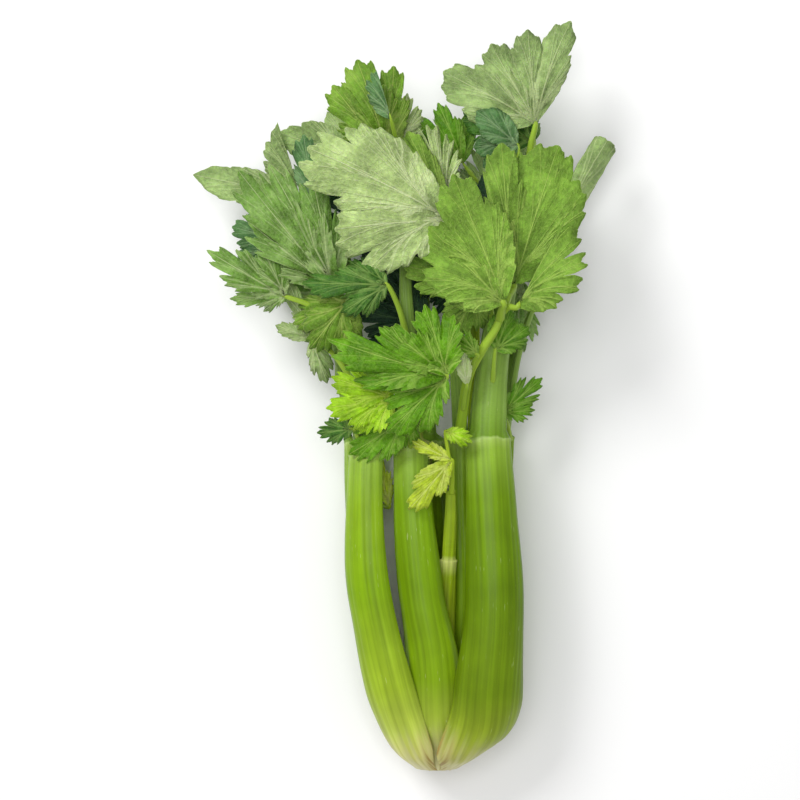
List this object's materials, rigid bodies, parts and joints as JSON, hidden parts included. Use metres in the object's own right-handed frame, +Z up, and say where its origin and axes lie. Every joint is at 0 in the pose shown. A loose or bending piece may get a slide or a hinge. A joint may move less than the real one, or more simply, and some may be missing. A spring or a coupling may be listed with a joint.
{
  "type": "head of celery",
  "caption": "Head of celery lying on its side: ribbed curved green stalks from one cut root, opening into toothed compound leaves.",
  "frame": {"origin": "centre of the bounding box in plan, on the surface that the head lies on", "axes": "+Z up from the surface; +Y from the cut root to the leaves; +X to the right, seen from above with the leaves away from the viewer"},
  "size_m": [0.2298, 0.4241, 0.0977],
  "materials": {
    "stalk_green": "waxy satin, ribbed along its length",
    "heart_yellow": "waxy satin",
    "root_cut": "rough, dried cut face",
    "leaf_green": "soft satin, veined, paler below",
    "leaf_young": "soft satin, veined"
  },
  "bodies": {
    "root": {"heart_leaf_curled": "leaf_young", "heart_leaf_gap": "leaf_young", "heart_leaf_yellow": "leaf_young", "heart_stalk_dark": "stalk_green", "heart_stalk_left": "heart_yellow", "heart_stalk_right": "heart_yellow", "heart_stalk_yellow": "heart_yellow", "leaf_back_dark": "leaf_green", "leaf_back_left": "leaf_green", "leaf_blue_shine": "leaf_green", "leaf_centre_folded": "leaf_green", "leaf_centre_pale": "leaf_green", "leaf_dark_centre": "leaf_green", "leaf_far_left": "leaf_green", "leaf_front_centre": "leaf_young", "leaf_front_left": "leaf_young", "leaf_front_low": "leaf_green", "leaf_inner_right": "leaf_green", "leaf_left_big": "leaf_green", "leaf_left_blue": "leaf_green", "leaf_left_folded": "leaf_green", "leaf_left_grey": "leaf_green", "leaf_left_tip": "leaf_green", "leaf_low_left": "leaf_green", "leaf_low_olive": "leaf_green", "leaf_ribbed": "leaf_green", "leaf_right_back": "leaf_green", "leaf_right_big": "leaf_green", "leaf_right_edge": "leaf_green", "leaf_right_low": "leaf_green", "leaf_right_ribbed": "leaf_green", "leaf_right_rolled": "leaf_green", "leaf_small_green": "leaf_green", "leaf_small_pale": "leaf_young", "leaf_top": "leaf_green", "leaf_top_folded": "leaf_green", "leaf_top_right": "leaf_green", "leaf_top_right_under": "leaf_green", "leaf_top_small": "leaf_green", "rear_leaf_centre": "leaf_green", "rear_leaf_inner": "leaf_green", "rear_leaf_inner_right": "leaf_green", "rear_leaf_left_high": "leaf_green", "rear_leaf_left_low": "leaf_green", "rear_leaf_left_side": "leaf_green", "rear_leaf_middle": "leaf_green", "rear_leaf_right": "leaf_green", "rear_leaf_top": "leaf_green", "rear_leaf_top_left": "leaf_green", "rear_leaf_top_right": "leaf_green", "root_plate": "root_cut", "stalk_centre": "stalk_green", "stalk_left": "stalk_green", "stalk_rear_left": "stalk_green", "stalk_rear_middle": "stalk_green", "stalk_rear_right": "stalk_green", "stalk_right": "stalk_green", "stalk_right_branch": "stalk_green", "stalk_side_left": "stalk_green", "stalk_side_right": "stalk_green"}
  },
  "joints": []
}
